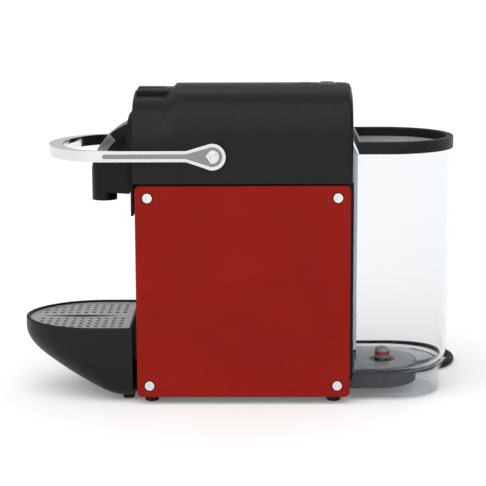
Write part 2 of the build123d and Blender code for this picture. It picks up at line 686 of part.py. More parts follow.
# ---------------------------------------------------------------- lever
ARM_MID_Z = sum(ARM_Z) / 2
ARM_T = ARM_X[1] - ARM_X[0]
EYE_TAPER_Y = -36.4
with BuildPart() as lever_handle:
    with BuildSketch(Plane.XY.offset(ARM_Z[0])):
        with BuildLine():
            Line((ARM_X[1], PIVOT_Y), (ARM_X[1], LOOP_STRAIGHT))
            EllipticalCenterArc((0, LOOP_STRAIGHT), ARM_X[1], LOOP_STRAIGHT - LOOP_TIP,
                                start_angle=180, arc_size=180)
            Line((-ARM_X[1], LOOP_STRAIGHT), (-ARM_X[1], PIVOT_Y))
            Line((-ARM_X[1], PIVOT_Y), (-ARM_X[0], PIVOT_Y))
            Line((-ARM_X[0], PIVOT_Y), (-ARM_X[0], LOOP_STRAIGHT))
            EllipticalCenterArc((0, LOOP_STRAIGHT), ARM_X[0], LOOP_STRAIGHT - LOOP_TIP - LOOP_GRIP,
                                start_angle=180, arc_size=180)
            Line((ARM_X[0], LOOP_STRAIGHT), (ARM_X[0], PIVOT_Y))
            Line((ARM_X[0], PIVOT_Y), (ARM_X[1], PIVOT_Y))
        make_face()
    extrude(amount=ARM_Z[1] - ARM_Z[0])
    for side in (-1, 1):
        with BuildSketch(side_plane(side * ARM_X[0])):
            with Locations((PIVOT_Y, PIVOT_Z)):
                Circle(EYE_R)
            with BuildLine():
                Polyline((EYE_TAPER_Y, ARM_Z[0]), (EYE_TAPER_Y, ARM_Z[1]),
                         (PIVOT_Y - 2.2, PIVOT_Z + 9.4), (PIVOT_Y - 2.2, PIVOT_Z - 9.4), close=True)
            make_face()
        extrude(amount=side * ARM_T)
        with BuildSketch(side_plane(side * (ARM_X[1] - 1.2))):
            with Locations((PIVOT_Y, PIVOT_Z)):
                Circle(EYE_R - 2.4)
            with Locations(((LOOP_STRAIGHT + PIVOT_Y) / 2, ARM_MID_Z)):
                RectangleRounded(PIVOT_Y - LOOP_STRAIGHT, 3.4, 1.6)
            with BuildLine():
                Polyline((EYE_TAPER_Y, ARM_MID_Z - 1.7), (EYE_TAPER_Y, ARM_MID_Z + 1.7),
                         (PIVOT_Y - 2.2, PIVOT_Z + 6.8), (PIVOT_Y - 2.2, PIVOT_Z - 6.8), close=True)
            make_face()
        extrude(amount=side * 2, mode=Mode.SUBTRACT)
        with BuildSketch(side_plane(side * (ARM_X[0] + 2.0))):
            with Locations((PIVOT_Y, PIVOT_Z)):
                Circle(4.8)
        extrude(amount=side * 4, mode=Mode.SUBTRACT)
        with BuildSketch(side_plane(side * (ARM_X[0] - 1))):
            with Locations((PIVOT_Y, PIVOT_Z)):
                Circle(2.05)
        extrude(amount=side * 4, mode=Mode.SUBTRACT)
lever_handle.part.label = "lever_handle"
pieces.append(lever_handle)

CRANK_Y = PIVOT_Y - CRANK_R * sin(radians(CRANK_HALF))
CRANK_Z = PIVOT_Z + CRANK_R * cos(radians(CRANK_HALF))
WEB_X = (23.6, 27.1)
for side, name in ((-1, "crank_left"), (1, "crank_right")):
    with BuildPart() as crank:
        with BuildSketch(side_plane(side * WEB_X[1])):
            with Locations((PIVOT_Y, PIVOT_Z)):
                Circle(STUB_R)
        extrude(amount=side * (ARM_X[0] - WEB_X[1]))
        with BuildSketch(side_plane(side * WEB_X[0])):
            with Locations((PIVOT_Y, PIVOT_Z)):
                Circle(5.8)
            with Locations((CRANK_Y, CRANK_Z)):
                Circle(4.0)
            with Locations(((PIVOT_Y + CRANK_Y) / 2, (PIVOT_Z + CRANK_Z) / 2)):
                Rectangle(CRANK_R, 8.0, rotation=90 + CRANK_HALF)
        extrude(amount=side * (WEB_X[1] - WEB_X[0]))
        with BuildSketch(side_plane(side * WEB_X[0])):
            with Locations((CRANK_Y, CRANK_Z)):
                Circle(PIN_R)
        extrude(amount=-side * 3.0)
        with BuildSketch(side_plane(side * ARM_X[0])):
            with Locations((PIVOT_Y, PIVOT_Z)):
                Circle(1.55)
        extrude(amount=-side * 12, mode=Mode.SUBTRACT)
    crank.part.label = name
    pieces.append(crank)

with BuildPart() as lever_screws:
    for side in (-1, 1):
        seat = side * (ARM_X[0] + 2.0)
        with BuildSketch(side_plane(seat)):
            with Locations((PIVOT_Y, PIVOT_Z)):
                Circle(3.3)
        extrude(amount=side * 0.7)
        with BuildSketch(side_plane(seat + side * 0.7)):
            with Locations((PIVOT_Y, PIVOT_Z)):
                Circle(3.3)
                RegularPolygon(1.5, 6, mode=Mode.SUBTRACT)
        extrude(amount=side * 1.1)
        with BuildSketch(side_plane(seat)):
            with Locations((PIVOT_Y, PIVOT_Z)):
                Circle(1.5)
        extrude(amount=-side * 12)
lever_screws.part.label = "lever_screws"
pieces.append(lever_screws)

# ---------------------------------------------------------------- links, cage and shutter
LINK_X = (20.7, 23.2)
for side, name in ((-1, "toggle_link_left"), (1, "toggle_link_right")):
    with BuildPart() as link:
        with BuildSketch(side_plane(side * LINK_X[0])):
            with Locations(((CRANK_Y + CAGE_PIN_Y) / 2, CRANK_Z)):
                Rectangle(CRANK_Y - CAGE_PIN_Y, 7)
            with Locations((CRANK_Y, CRANK_Z)):
                Circle(5.0)
            with Locations((CAGE_PIN_Y, CRANK_Z - 3.3)):
                RectangleRounded(12.4, 19.6, 4)
                RectangleRounded(7.4, 12.8, 3, mode=Mode.SUBTRACT)
            with Locations((CRANK_Y, CRANK_Z)):
                Circle(PIN_R + 0.05, mode=Mode.SUBTRACT)
        extrude(amount=side * (LINK_X[1] - LINK_X[0]))
    link.part.label = name
    pieces.append(link)

with BuildPart() as capsule_cage:
    with BuildSketch(back_plane(CAGE_Y[0])):
        with Locations((0, BREW_Z)):
            Circle(CAGE_R)
            Circle(16.5, mode=Mode.SUBTRACT)
    extrude(amount=CAGE_Y[1] - CAGE_Y[0] - 4)
    with BuildSketch(back_plane(CAGE_Y[1] - 4)):
        with Locations((0, BREW_Z)):
            Circle(CAGE_R)
            Circle(1.2, mode=Mode.SUBTRACT)
    extrude(amount=4)
    for side in (-1, 1):
        with BuildSketch(side_plane(side * 17.2)):
            with Locations((CAGE_PIN_Y, CRANK_Z)):
                Circle(PIN_R)
        extrude(amount=side * 6.0)
        with BuildSketch(back_plane(CAGE_PIN_Y - 6)):
            with Locations((side * 19.2, ROD_Z)):
                Rectangle(14.4, 8.4)
            with Locations((side * ROD_X, ROD_Z)):
                Circle(ROD_R + 0.05, mode=Mode.SUBTRACT)
        extrude(amount=14)
    with BuildSketch(back_plane(CAGE_Y[0])):
        with Locations((0, BREW_Z)):
            Circle(16.5)
    extrude(amount=CAGE_Y[1] - CAGE_Y[0] - 4, mode=Mode.SUBTRACT)
capsule_cage.part.label = "capsule_cage"
pieces.append(capsule_cage)

with BuildPart() as cage_seal:
    with BuildSketch(back_plane(CAGE_Y[0] - 0.9)):
        with Locations((0, BREW_Z)):
            Circle(19.0)
            Circle(16.6, mode=Mode.SUBTRACT)
    extrude(amount=0.9)
cage_seal.part.label = "cage_seal"
pieces.append(cage_seal)

SHUTTER_TOP, SHUTTER_T = 232.5, 4.1
with BuildPart() as capsule_shutter:
    with BuildSketch(back_plane(SLOT_Y[0] + 0.4)):
        make_face(crown_band(SHUTTER_TOP, SHUTTER_T, SLOT_X - 0.5).edges())
    extrude(amount=SLOT_Y[1] - SLOT_Y[0] + 1.4)
capsule_shutter.part.label = "capsule_shutter"
pieces.append(capsule_shutter)

with BuildPart() as shutter_ridge:
    with BuildSketch(back_plane(SLOT_Y[0] + 1.0)):
        make_face(crown_band(SHUTTER_TOP + 0.3, 0.3, 7.0).edges())
    extrude(amount=20)
    with BuildSketch(Plane.XY.offset(220)):
        with BuildLine():
            Polyline((-7, SLOT_Y[0]), (7, SLOT_Y[0]), (2.5, RAMP_Y[0] + 1), (-2.5, RAMP_Y[0] + 1),
                     close=True)
        make_face()
    extrude(amount=20, mode=Mode.INTERSECT)
shutter_ridge.part.label = "shutter_ridge"
pieces.append(shutter_ridge)

# ---------------------------------------------------------------- buttons
for name, y, cap_r, proud in (("brew_button", 67.4, 5.15, 0.7), ("cup_button", 50.8, 4.5, 0.3)):
    with BuildPart() as button:
        with BuildSketch(Plane.XY.offset(228.6)):
            with Locations((0, y)):
                Circle(cap_r)
        extrude(amount=SHELL_TOP + proud - 228.6)
        fillet(button.faces().sort_by(Axis.Z)[-1].edges(), 0.8 * proud)
        with BuildSketch(Plane.XY.offset(227.6)):
            with Locations((0, y)):
                Circle(cap_r + 1.6)
        extrude(amount=1.6)
    button.part.label = name
    pieces.append(button)

# ---------------------------------------------------------------- drawer: drip tray, grille, capsule bin
TRAY_STATIONS = (
    # height, half width, tip, where the sides begin to curve
    (TRAY_TOP, TRAY_X, FRONT, TRAY_STRAIGHT),
    (46.0, TRAY_X - 0.3, FRONT + 0.8, TRAY_STRAIGHT + 1),
    (36.0, TRAY_X - 0.8, -155.0, TRAY_STRAIGHT + 3),
    (25.0, TRAY_X - 1.6, -140.2, TRAY_STRAIGHT + 6),
    (15.0, TRAY_X - 3.2, -123.2, TRAY_STRAIGHT + 10),
    (8.0, TRAY_X - 6.5, -108.6, TRAY_STRAIGHT + 14),
    (4.6, TRAY_X - 11.0, -98.6, TRAY_STRAIGHT + 18),
)
RUNNER_Z = (8.7, 10.5)
with BuildPart() as drip_tray:
    for z, half, tip, straight in TRAY_STATIONS:
        with BuildSketch(Plane.XY.offset(z)):
            make_face(tray_outline(half, tip, straight, TRAY_BACK).edges())
    loft(ruled=True)
    for z, half, tip, straight in TRAY_STATIONS[:-2] + ((8.6, TRAY_X - 6.2, -109.4, -90.0),):
        rise = 2 if z == TRAY_TOP else 0
        with BuildSketch(Plane.XY.offset(z + rise)):
            make_face(tray_outline(half - TRAY_WALL, tip + TRAY_WALL + (TRAY_TOP - z) * 0.03,
                                   straight, TRAY_BACK - TRAY_WALL).edges())
    loft(ruled=True, mode=Mode.SUBTRACT)
    with BuildSketch(Plane.XY.offset(RUNNER_Z[0])):
        with Locations((0, (TRAY_BACK - 5.0) / 2)):
            Rectangle(88, -5.0 - TRAY_BACK)
    extrude(amount=RUNNER_Z[1] - RUNNER_Z[0])
    with BuildSketch(Plane.XY.offset(RUNNER_Z[1])):
        with Locations((0, -6.2)):
            Rectangle(88, 2.4)
    extrude(amount=4)
drip_tray.part.label = "drip_tray"
pieces.append(drip_tray)

with BuildPart() as tray_foot:
    with BuildSketch(Plane.XY.offset(0.2)):
        with Locations((0, -82.6)):
            RectangleRounded(66, 8.4, 3)
    extrude(amount=4.4)
tray_foot.part.label = "tray_foot"
pieces.append(tray_foot)

GRILLE_Z = (55.4, 56.8)
GRILLE_HOLES = [
    (side * (10.5 + 8.6 * row), -87.5 - 6.1 * column)
    for column in range(11) for row in range(4) for side in (-1, 1)
]


def on_grille(x, y):
    """True where a hole at x, y keeps clear of the grille's edge."""
    half, reach = TRAY_X - 7.5, TRAY_STRAIGHT - FRONT - 7.5
    if y > TRAY_STRAIGHT:
        return abs(x) <= half
    return (x / half) ** 2 + ((y - TRAY_STRAIGHT) / reach) ** 2 <= 1


with BuildPart() as drip_grille:
    with BuildSketch(Plane.XY.offset(GRILLE_Z[0])):
        make_face(tray_outline(TRAY_X - TRAY_WALL - 0.5, FRONT + TRAY_WALL + 0.7, TRAY_STRAIGHT,
                               TRAY_BACK - TRAY_WALL - 0.4).edges())
        with Locations([(x, y) for x, y in GRILLE_HOLES if on_grille(x, y)]):
            SlotOverall(5.5, 2.9, mode=Mode.SUBTRACT)
        with BuildLine():
            ThreePointArc((0, -86), (5, -119), (0, -152))
            ThreePointArc((0, -152), (-5, -119), (0, -86))
        make_face(mode=Mode.SUBTRACT)
    extrude(amount=GRILLE_Z[1] - GRILLE_Z[0])
drip_grille.part.label = "drip_grille"
pieces.append(drip_grille)

BIN_X, BIN_Y, BIN_Z = 44.8, (-73.6, -7.8), (10.8, 131.5)
with BuildPart() as capsule_bin:
    with BuildSketch(Plane.XY.offset(BIN_Z[0])):
        with Locations((0, sum(BIN_Y) / 2)):
            RectangleRounded(2 * BIN_X, BIN_Y[1] - BIN_Y[0], 5)
    extrude(amount=BIN_Z[1] - BIN_Z[0])
    with BuildSketch(Plane.XY.offset(BIN_Z[0] + 1.8)):
        with Locations((0, sum(BIN_Y) / 2)):
            RectangleRounded(2 * BIN_X - 3.6, BIN_Y[1] - BIN_Y[0] - 3.6, 3.2)
    extrude(amount=BIN_Z[1] - BIN_Z[0], mode=Mode.SUBTRACT)
capsule_bin.part.label = "capsule_bin"
pieces.append(capsule_bin)

# ---------------------------------------------------------------- water tank
with BuildPart() as water_tank:
    for z, half, tip in ((TANK_Z[0], TANK_LOW_X, TANK_LOW_TIP), (TANK_Z[1], TANK_TOP_X, TANK_TOP_TIP)):
        with BuildSketch(Plane.XY.offset(z)):
            make_face(d_outline(TANK_FLAT, half, tip).edges())
    loft(ruled=True)
    fillet(water_tank.faces().sort_by(Axis.Z)[0].edges().sort_by(Axis.Y)[1:], 10.0)
    offset(amount=-TANK_WALL, openings=water_tank.faces().sort_by(Axis.Z)[-1])
    with BuildSketch(Plane.XY.offset(14.2)):
        with Locations((0, VALVE_Y)):
            Circle(6.4)
    extrude(amount=TANK_Z[0] - 14.2)
    with BuildSketch(Plane.XY.offset(14.0)):
        with Locations((0, VALVE_Y)):
            Circle(3.4)
    extrude(amount=12, mode=Mode.SUBTRACT)
water_tank.part.label = "water_tank"
pieces.append(water_tank)

with BuildPart() as tank_strainer:
    with BuildSketch(Plane.XY.offset(TANK_Z[0] + TANK_WALL)):
        with Locations((0, VALVE_Y)):
            Circle(5.7)
    extrude(amount=8.2)
    fillet(tank_strainer.faces().sort_by(Axis.Z)[-1].edges(), 3.5)
    with BuildSketch(Plane.XY.offset(TANK_Z[0] + TANK_WALL)):
        with Locations((0, VALVE_Y)):
            Circle(3.6)
    extrude(amount=3.2, mode=Mode.SUBTRACT)
tank_strainer.part.label = "tank_strainer"
pieces.append(tank_strainer)

with BuildPart() as tank_valve:
    with BuildSketch(Plane.XY.offset(14.4)):
        with Locations((0, VALVE_Y)):
            Circle(2.6)
    extrude(amount=10.0)
tank_valve.part.label = "tank_valve"
pieces.append(tank_valve)

with BuildPart() as tank_lid:
    with BuildSketch(Plane.XY.offset(LID_Z[0])):
        make_face(d_outline(88.9, LID_X, REAR).edges())
        make_face(d_outline(80.0, LID_X - 5.4, REAR - 5.4).edges(), mode=Mode.SUBTRACT)
    extrude(amount=LID_Z[1] - LID_Z[0])
    fillet(tank_lid.faces().sort_by(Axis.Z)[-1].edges().filter_by(GeomType.CIRCLE), 1.2)
tank_lid.part.label = "tank_lid"
pieces.append(tank_lid)

with BuildPart() as lid_plate:
    with BuildSketch(Plane.XY.offset(LID_Z[0] + 0.2)):
        make_face(d_outline(89.2, LID_X - 5.4, REAR - 5.4).edges())
    extrude(amount=1.8)
    with BuildSketch(Plane.XY.offset(LID_Z[0] + 2.0)):
        with Locations((0, 90.1)):
            Rectangle(2 * (LID_X - 5.4), 1.8)
    extrude(amount=LID_Z[1] - LID_Z[0] - 2.2)
lid_plate.part.label = "lid_plate"
pieces.append(lid_plate)

for piece in pieces:
    export_step(piece.part, f"parts/{piece.part.label}.step")
print(len(pieces), "pieces")
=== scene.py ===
import json
import math

import bmesh
import bpy
from mathutils import Matrix, Vector


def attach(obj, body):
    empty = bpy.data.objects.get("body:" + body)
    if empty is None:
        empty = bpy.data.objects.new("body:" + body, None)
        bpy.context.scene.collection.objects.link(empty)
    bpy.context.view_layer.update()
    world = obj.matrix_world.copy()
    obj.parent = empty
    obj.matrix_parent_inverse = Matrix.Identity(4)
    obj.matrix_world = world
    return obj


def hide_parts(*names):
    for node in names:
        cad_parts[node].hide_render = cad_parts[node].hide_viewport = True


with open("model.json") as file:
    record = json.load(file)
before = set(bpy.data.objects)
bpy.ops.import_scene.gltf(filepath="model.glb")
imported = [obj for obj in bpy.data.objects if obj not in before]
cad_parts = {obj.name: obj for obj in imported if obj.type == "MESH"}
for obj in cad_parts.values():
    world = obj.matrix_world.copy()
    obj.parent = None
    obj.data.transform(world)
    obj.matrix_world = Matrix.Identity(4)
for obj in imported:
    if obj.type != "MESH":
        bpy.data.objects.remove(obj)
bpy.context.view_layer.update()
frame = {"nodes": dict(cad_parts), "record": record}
NODES = frame["nodes"]
MM = 0.001


# ---------------------------------------------------------------- camera, floor and light
CAMERA_AT = (1.26093, 0.01749, 0.34504)
CAMERA_LENS = 124.49
PITCH_DOWN, YAW, ROLL = math.radians(10.4214), math.radians(0.6130), math.radians(-0.2140)


def link(name, data):
    """A new object that holds this mesh, lamp or camera, in the scene."""
    made = bpy.data.objects.new(name, data)
    bpy.context.scene.collection.objects.link(made)
    return made


def make_camera():
    """The photograph's view: level with the machine's top, square on to its side."""
    look = Vector((-math.cos(YAW) * math.cos(PITCH_DOWN), -math.sin(YAW) * math.cos(PITCH_DOWN),
                   -math.sin(PITCH_DOWN)))
    right = look.cross(Vector((0, 0, 1))).normalized()
    up = right.cross(look)
    turned_right = right * math.cos(ROLL) + up * math.sin(ROLL)
    turned_up = up * math.cos(ROLL) - right * math.sin(ROLL)
    data = bpy.data.cameras.new("camera")
    data.lens = CAMERA_LENS
    data.sensor_width = 36.0
    camera = link("camera", data)
    axes = Matrix((turned_right, turned_up, -look)).transposed()
    camera.matrix_world = Matrix.Translation(CAMERA_AT) @ axes.to_4x4()
    bpy.context.scene.camera = camera


def make_floor():
    """A large pale floor."""
    half = 16.0
    mesh = bpy.data.meshes.new("floor")
    corners = [(-half, -half, 0), (half, -half, 0), (half, half, 0), (-half, half, 0)]
    mesh.from_pydata(corners, [], [(0, 1, 2, 3)])
    floor = link("floor", mesh)
    floor.data.materials.append(finish("floor_paint", (0.93, 0.93, 0.93), 0.7, specular=0.05,
                                        Emission_Color=(1, 1, 1, 1), Emission_Strength=0.13))


def area_light(name, at, size, watts, aim=(0, 0, 0.12)):
    """A soft box at a point, turned towards the machine."""
    data = bpy.data.lights.new(name, "AREA")
    data.shape = "RECTANGLE"
    data.size, data.size_y = size
    data.energy = watts
    lamp = link(name, data)
    lamp.location = at
    lamp.rotation_euler = (Vector(aim) - Vector(at)).to_track_quat("-Z", "Y").to_euler()


def make_light():
    """A pale room with a dark band round its walls, a wide soft light above and two soft boxes."""
    world = bpy.data.worlds.new("studio")
    bpy.context.scene.world = world
    world.use_nodes = True
    tree = world.node_tree
    place = tree.nodes.new("ShaderNodeTexCoord")
    split = tree.nodes.new("ShaderNodeSeparateXYZ")
    ramp = tree.nodes.new("ShaderNodeValToRGB")
    stops = ramp.color_ramp.elements
    stops[0].position, stops[0].color = 0.22, (1.0, 1.0, 1.0, 1)
    stops[1].position, stops[1].color = 0.52, (1.0, 1.0, 1.0, 1)
    for edge in (0.28, 0.45):
        stops.new(edge).color = (0.26, 0.26, 0.27, 1)
    tree.links.new(place.outputs["Generated"], split.inputs["Vector"])
    tree.links.new(split.outputs["Z"], ramp.inputs["Fac"])
    tree.links.new(ramp.outputs["Color"], tree.nodes["Background"].inputs["Color"])
    tree.nodes["Background"].inputs["Strength"].default_value = 0.64
    data = bpy.data.lights.new("sky_panel", "SUN")
    data.angle, data.energy = math.radians(90), 2.0
    lamp = link("sky_panel", data)
    lamp.rotation_euler = Vector((-0.70, 0.20, -0.70)).to_track_quat("-Z", "Y").to_euler()
    area_light("front_box", (1.4, -0.9, 0.9), (0.8, 0.8), 2)
    area_light("rear_box", (-1.2, 0.9, 0.9), (0.9, 0.9), 3)
    bpy.context.scene.view_settings.view_transform = "Standard"


# ---------------------------------------------------------------- materials
def finish(name, color, roughness, metallic=0.0, specular=0.5, **more):
    """A material whose even values sit on the shader's own sockets."""
    made = bpy.data.materials.new(name)
    made.use_nodes = True
    shader = made.node_tree.nodes["Principled BSDF"]
    shader.inputs["Base Color"].default_value = (*color, 1)
    shader.inputs["Roughness"].default_value = roughness
    shader.inputs["Metallic"].default_value = metallic
    shader.inputs["Specular IOR Level"].default_value = specular
    for socket, value in more.items():
        shader.inputs[socket.replace("_", " ")].default_value = value
    return made


def add(material, kind, **settings):
    """A node of this kind, with its sockets set by name."""
    node = material.node_tree.nodes.new(kind)
    for socket, value in settings.items():
        node.inputs[socket.replace("_", " ")].default_value = value
    return node


def noise(material, scale, detail=3.0, stretch=(1, 1, 1)):
    """Noise in the object's own space, scale in waves a metre, finer along an axis with more stretch."""
    tree = material.node_tree
    place = tree.nodes.new("ShaderNodeTexCoord")
    spread = add(material, "ShaderNodeMapping", Scale=stretch)
    made = add(material, "ShaderNodeTexNoise", Scale=scale, Detail=detail)
    tree.links.new(place.outputs["Object"], spread.inputs["Vector"])
    tree.links.new(spread.outputs["Vector"], made.inputs["Vector"])
    return made.outputs["Fac"]


def ranged(material, source, low, high):
    """A source from 0.3 to 0.7, which is what noise gives, spread from low to high."""
    node = add(material, "ShaderNodeMapRange", From_Min=0.3, From_Max=0.7, To_Min=low, To_Max=high)
    material.node_tree.links.new(source, node.inputs["Value"])
    return node.outputs["Result"]


def tint(material, source, dark, light):
    """Colour that varies with a source between two colours."""
    node = material.node_tree.nodes.new("ShaderNodeMix")
    node.data_type = "RGBA"
    node.inputs["A"].default_value = (*dark, 1)
    node.inputs["B"].default_value = (*light, 1)
    material.node_tree.links.new(ranged(material, source, 0.0, 1.0), node.inputs["Factor"])
    shader = material.node_tree.nodes["Principled BSDF"]
    material.node_tree.links.new(node.outputs["Result"], shader.inputs["Base Color"])


def roughen(material, source, low, high):
    """Roughness that varies with a source."""
    shader = material.node_tree.nodes["Principled BSDF"]
    material.node_tree.links.new(ranged(material, source, low, high), shader.inputs["Roughness"])


def soften(material, radius, source=None, depth=0.0001, strength=0.2):
    """Rounded edges of this radius, and relief from a source."""
    tree = material.node_tree
    shader = tree.nodes["Principled BSDF"]
    edge = add(material, "ShaderNodeBevel", Radius=radius)
    edge.samples = 4
    if source is None:
        tree.links.new(edge.outputs["Normal"], shader.inputs["Normal"])
        return
    bump = add(material, "ShaderNodeBump", Strength=strength, Distance=depth)
    tree.links.new(source, bump.inputs["Height"])
    tree.links.new(edge.outputs["Normal"], bump.inputs["Normal"])
    tree.links.new(bump.outputs["Normal"], shader.inputs["Normal"])


def moulded(name, color, roughness, specular=0.3, grain=2600, edge=0.0004, relief=0.00006):
    """Moulded plastic: a fine grain, faint blotches in its gloss, and rounded edges."""
    made = finish(name, color, roughness, specular=specular)
    roughen(made, noise(made, 140, 4), roughness - 0.04, roughness + 0.05)
    tint(made, noise(made, 60, 2), [c * 0.9 for c in color], [c * 1.12 for c in color])
    soften(made, edge, noise(made, grain, 2), relief, 0.25)
    return made


def turned_metal(name, color, roughness, stretch=(1, 1, 1), scale=700):
    """Metal with fine brushing, along the axis that stretch makes coarse."""
    made = finish(name, color, roughness, metallic=1.0)
    roughen(made, noise(made, scale, 4, stretch), roughness - 0.06, roughness + 0.08)
    soften(made, 0.0003, noise(made, scale * 2, 3, stretch), 0.00002, 0.15)
    return made


def painted_red():
    """Satin red paint over a fine diagonal weave."""
    red = (0.225, 0.0080, 0.0046)
    made = finish("panel_red_paint", red, 0.36, specular=0.06)
    tree = made.node_tree
    tint(made, noise(made, 25, 2), (0.212, 0.0072, 0.0042), (0.239, 0.0088, 0.0050))
    roughen(made, noise(made, 300, 4), 0.33, 0.40)
    place = tree.nodes.new("ShaderNodeTexCoord")
    waves = []
    for turn in (45, -45):
        spread = add(made, "ShaderNodeMapping", Rotation=(math.radians(turn), 0, 0))
        wave = add(made, "ShaderNodeTexWave", Scale=190)
        wave.bands_direction = "Y"
        tree.links.new(place.outputs["Object"], spread.inputs["Vector"])
        tree.links.new(spread.outputs["Vector"], wave.inputs["Vector"])
        waves.append(wave.outputs["Fac"])
    both = tree.nodes.new("ShaderNodeMath")
    both.operation = "MAXIMUM"
    for wave, socket in zip(waves, both.inputs):
        tree.links.new(wave, socket)
    soften(made, 0.0012, both.outputs["Value"], 0.00004, 0.35)
    return made


def clear_plastic(name, color, ior, roughness=0.03, depth=12.0):
    """Clear moulded plastic with faint flow marks, blue-grey where light passes through a lot of it."""
    made = finish(name, color, roughness, Transmission_Weight=1.0, IOR=ior)
    roughen(made, noise(made, 40, 2), roughness * 0.6, roughness * 1.6)
    bump = add(made, "ShaderNodeBump", Strength=0.05, Distance=0.0002)
    made.node_tree.links.new(noise(made, 30, 2), bump.inputs["Height"])
    shader = made.node_tree.nodes["Principled BSDF"]
    made.node_tree.links.new(bump.outputs["Normal"], shader.inputs["Normal"])
    body = add(made, "ShaderNodeVolumeAbsorption", Color=(0.80, 0.84, 0.86, 1), Density=depth * 5)
    output = made.node_tree.nodes["Material Output"]
    made.node_tree.links.new(body.outputs["Volume"], output.inputs["Volume"])
    return made


def banded(name, low, high):
    """Grey moulded plastic with a red band between two heights."""
    made = moulded(name, (0.42, 0.42, 0.42), 0.4, 0.3)
    tree = made.node_tree
    place = tree.nodes.new("ShaderNodeTexCoord")
    split = tree.nodes.new("ShaderNodeSeparateXYZ")
    spread = add(made, "ShaderNodeMapRange", From_Min=low, From_Max=high)
    ramp = tree.nodes.new("ShaderNodeValToRGB")
    ramp.color_ramp.interpolation = "CONSTANT"
    stops = ramp.color_ramp.elements
    stops[0].position, stops[0].color = 0.0, (0.36, 0.36, 0.37, 1)
    stops[1].position, stops[1].color = 0.24, (0.42, 0.03, 0.025, 1)
    stops.new(0.62).color = (0.36, 0.36, 0.37, 1)
    tree.links.new(place.outputs["Object"], split.inputs["Vector"])
    tree.links.new(split.outputs["Z"], spread.inputs["Value"])
    tree.links.new(spread.outputs["Result"], ramp.inputs["Fac"])
    tree.links.new(ramp.outputs["Color"], tree.nodes["Principled BSDF"].inputs["Base Color"])
    return made


LONG_Y = (6, 0.4, 6)                # brushing that runs along Y
MATERIALS = {
    "panel_red": painted_red(),
    "shell_black": moulded("shell_black_plastic", (0.0072, 0.0074, 0.0074), 0.34, 0.17),
    "frame_black": moulded("frame_black_plastic", (0.0062, 0.0062, 0.0064), 0.36, 0.10),
    "control_black": moulded("control_black_plastic", (0.016, 0.016, 0.017), 0.40, 0.15),
    "inner_black": moulded("inner_black_plastic", (0.007, 0.007, 0.007), 0.5, 0.1),
    "inner_grey": moulded("inner_grey_plastic", (0.30, 0.30, 0.31), 0.5, 0.4),
    "shutter_black": moulded("shutter_black_plastic", (0.004, 0.004, 0.004), 0.3, 0.12),
    "outlet_black": moulded("outlet_black_plastic", (0.005, 0.005, 0.005), 0.25, 0.15),
    "button_black": moulded("button_black_plastic", (0.05, 0.05, 0.05), 0.35, 0.4),
    "light_lens": moulded("lens_plastic", (0.85, 0.85, 0.83), 0.2, 0.5),
    "trim_silver": turned_metal("trim_satin_metal", (0.24, 0.245, 0.24), 0.30),
    "rubber_black": moulded("foot_rubber", (0.012, 0.012, 0.012), 0.7, 0.2, grain=1800),
    "chrome": turned_metal("polished_chrome", (0.72, 0.725, 0.73), 0.10, scale=200),
    "steel": turned_metal("plain_steel", (0.42, 0.42, 0.43), 0.3),
    "grille_steel": turned_metal("grille_metal", (0.72, 0.73, 0.72), 0.36, LONG_Y, 500),
    "cast_aluminium": turned_metal("cast_metal", (0.55, 0.55, 0.56), 0.5, scale=500),
    "pump_steel": turned_metal("plated_metal", (0.42, 0.42, 0.44), 0.35),
    "tube_white": moulded("silicone_tube", (0.75, 0.75, 0.73), 0.45, 0.4),
    "board_green": moulded("board_laminate", (0.02, 0.11, 0.045), 0.45, 0.5),
    "base_grey": moulded("arm_grey_plastic", (0.075, 0.075, 0.082), 0.42, 0.15),
    "skirt_clear": clear_plastic("skirt_clear_plastic", (0.86, 0.88, 0.90), 1.22, 0.10),
    "tank_clear": clear_plastic("tank_clear_plastic", (0.925, 0.928, 0.935), 1.14, 0.02),
    "strainer_red": banded("strainer_plastic", 0.0238, 0.0320),
    "cord_black": moulded("cord_sheath", (0.008, 0.008, 0.008), 0.45, 0.12, grain=1500),
    "plug_black": moulded("plug_rubber", (0.012, 0.012, 0.012), 0.5, 0.3, grain=1500),
    "seal_silicone": moulded("seal_silicone", (0.45, 0.12, 0.09), 0.6, 0.3),
    "tray_black": moulded("tray_black_plastic", (0.010, 0.0106, 0.0106), 0.40, 0.12),
    "bin_black": moulded("bin_black_plastic", (0.012, 0.012, 0.012), 0.45, 0.3),
    "lid_black": moulded("lid_black_plastic", (0.011, 0.0112, 0.0112), 0.42, 0.12),
    "lid_grey": moulded("lid_grey_plastic", (0.30, 0.30, 0.285), 0.4, 0.4),
}


def dress_frame():
    """Each CAD node gets its slot's material."""
    slots = {s["node"]: s["material_slot"] for s in frame["record"]["subparts"]}
    for node, obj in NODES.items():
        for place in obj.material_slots:
            place.material = MATERIALS[slots[node]]


# ---------------------------------------------------------------- mesh helpers
def mesh_piece(name, slot, body, verts, faces, sharp=35):
    """A new piece from points and faces in metres, smooth but for edges over the sharp angle."""
    mesh = bpy.data.meshes.new(name)
    mesh.from_pydata(verts, [], faces)
    mesh.validate()
    tidy = bmesh.new()
    tidy.from_mesh(mesh)
    bmesh.ops.remove_doubles(tidy, verts=tidy.verts, dist=1e-6)
    bmesh.ops.recalc_face_normals(tidy, faces=tidy.faces)
    tidy.to_mesh(mesh)
    tidy.free()
    mesh.materials.append(MATERIALS[slot])
    mesh.shade_smooth()
    mesh.set_sharp_from_angle(angle=math.radians(sharp))
    made = link(name, mesh)
    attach(made, body)
    return made


